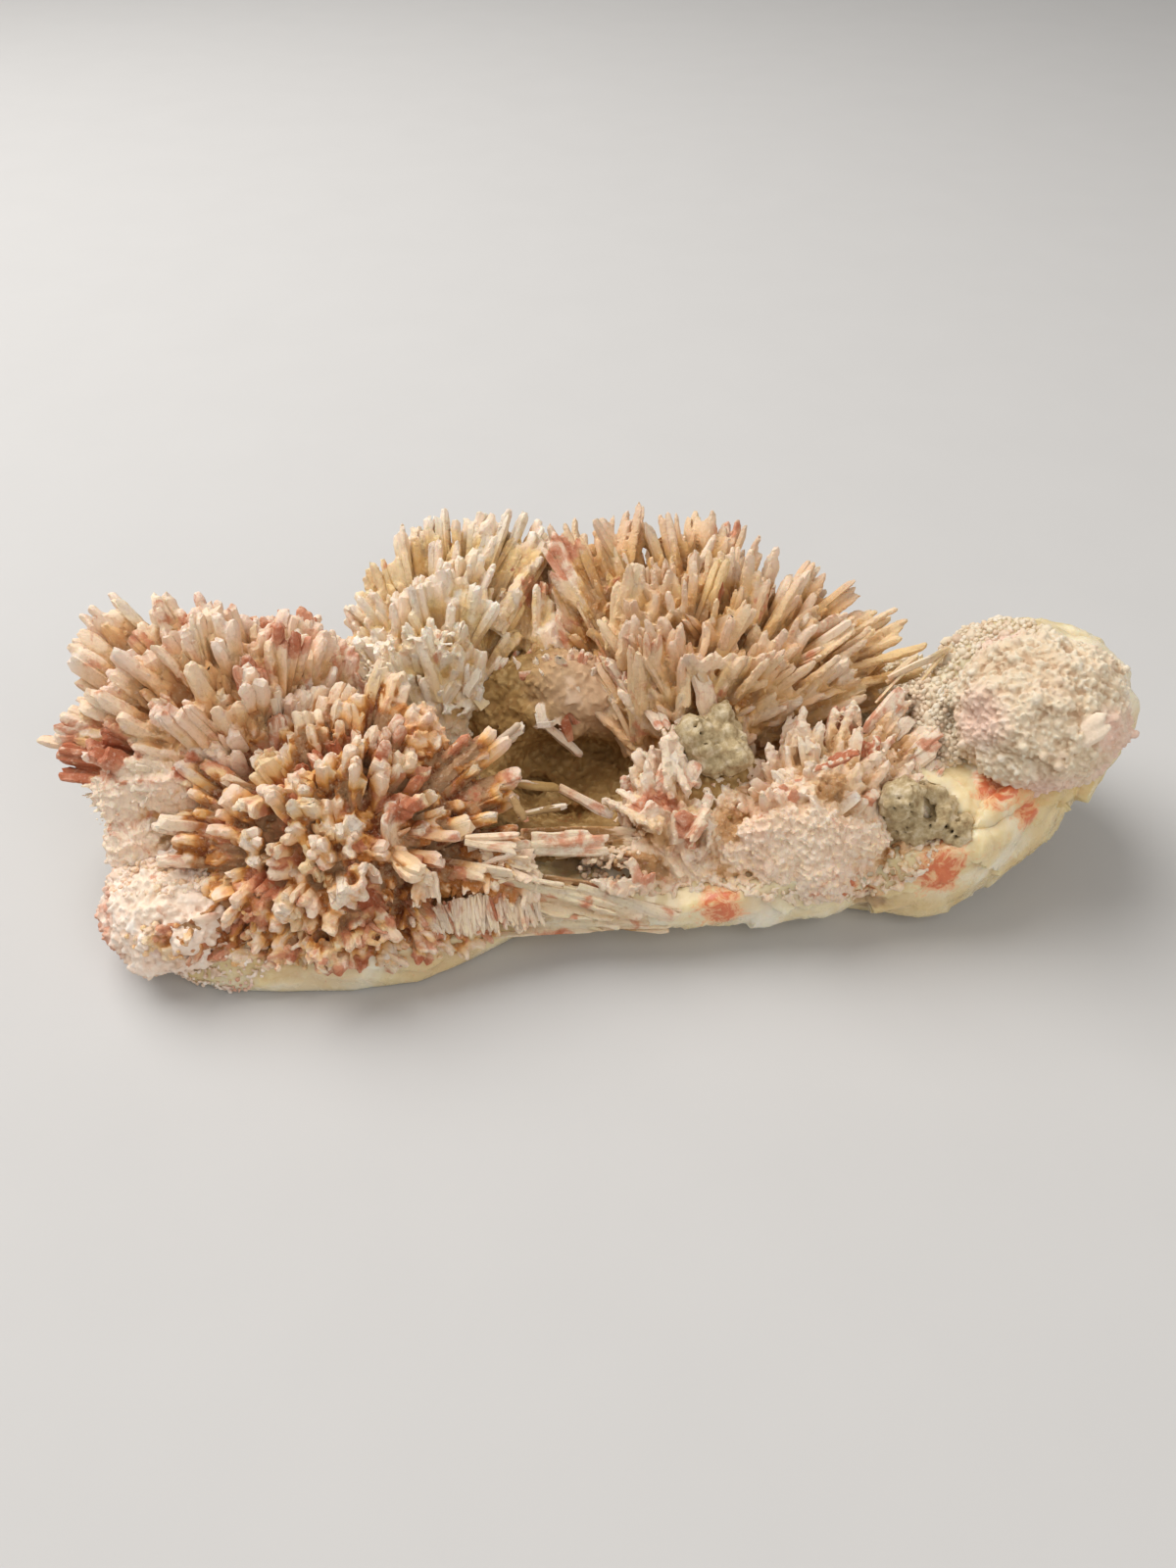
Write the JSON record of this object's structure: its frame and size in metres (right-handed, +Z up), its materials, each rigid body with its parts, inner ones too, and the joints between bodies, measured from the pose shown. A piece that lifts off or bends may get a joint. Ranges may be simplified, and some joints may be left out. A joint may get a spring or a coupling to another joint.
{
  "type": "stilbite cluster",
  "caption": "Low cluster of radiating peach stilbite blades on a pale chalcedony crust that ends in a rounded, druse-capped knob; it lies on its flat underside.",
  "frame": {"origin": "middle of the bounding box, on the surface that the specimen lies on", "axes": "+X along the specimen towards the knob, +Y away from the display side, +Z up"},
  "size_m": [0.1776, 0.0804, 0.0473],
  "materials": {
    "chalcedony": "milky translucent chalcedony, waxy, with orange-red iron stains on its broken faces",
    "sandy_druse": "tan coating of fine grains, matt",
    "peach_stilbite": "translucent stilbite blades, pearly, peach with whiter tips and brown-red stains",
    "cream_stilbite": "translucent stilbite blades, pearly, cream with mustard and peach tints",
    "pink_stilbite": "translucent stilbite blades under a crust of pale pink grains",
    "grey_green_nodule": "dull grey-green, pitted",
    "pink_druse": "fine pink and cream grains, matt with small glints"
  },
  "bodies": {
    "root": {"chalcedony_crust": "chalcedony", "hollow_druse": "sandy_druse", "front_rosette": "peach_stilbite", "left_wing": "peach_stilbite", "centre_left_sheaf": "cream_stilbite", "centre_right_sheaf": "peach_stilbite", "right_fan": "pink_stilbite", "broken_ridge": "pink_stilbite", "front_bundle": "cream_stilbite", "centre_nodule": "grey_green_nodule", "right_nodule": "grey_green_nodule", "knob_druse": "pink_druse", "left_lobe_druse": "pink_druse"}
  },
  "joints": []
}
